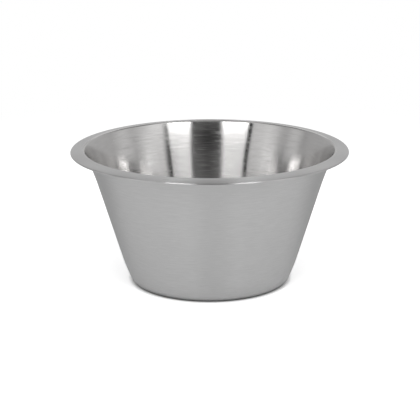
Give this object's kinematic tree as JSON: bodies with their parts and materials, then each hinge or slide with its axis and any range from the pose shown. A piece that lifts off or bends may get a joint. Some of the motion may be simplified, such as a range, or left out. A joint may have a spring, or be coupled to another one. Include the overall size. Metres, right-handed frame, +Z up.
{
  "type": "mixing bowl",
  "caption": "Tapered mixing bowl with a flat base and a wide, slightly crowned flange rim turned down at its edge, pressed from one sheet of satin stainless steel.",
  "frame": {"origin": "middle of the flat base, on the surface that the bowl stands on", "axes": "+Z up along the bowl's axis; the bowl is round, so +X and +Y are any two sides"},
  "size_m": [0.24, 0.24, 0.118],
  "materials": {
    "steel": "satin brushed outside and on the rim, brighter brushed inside"
  },
  "bodies": {
    "root": {"bowl": "steel"}
  },
  "joints": []
}
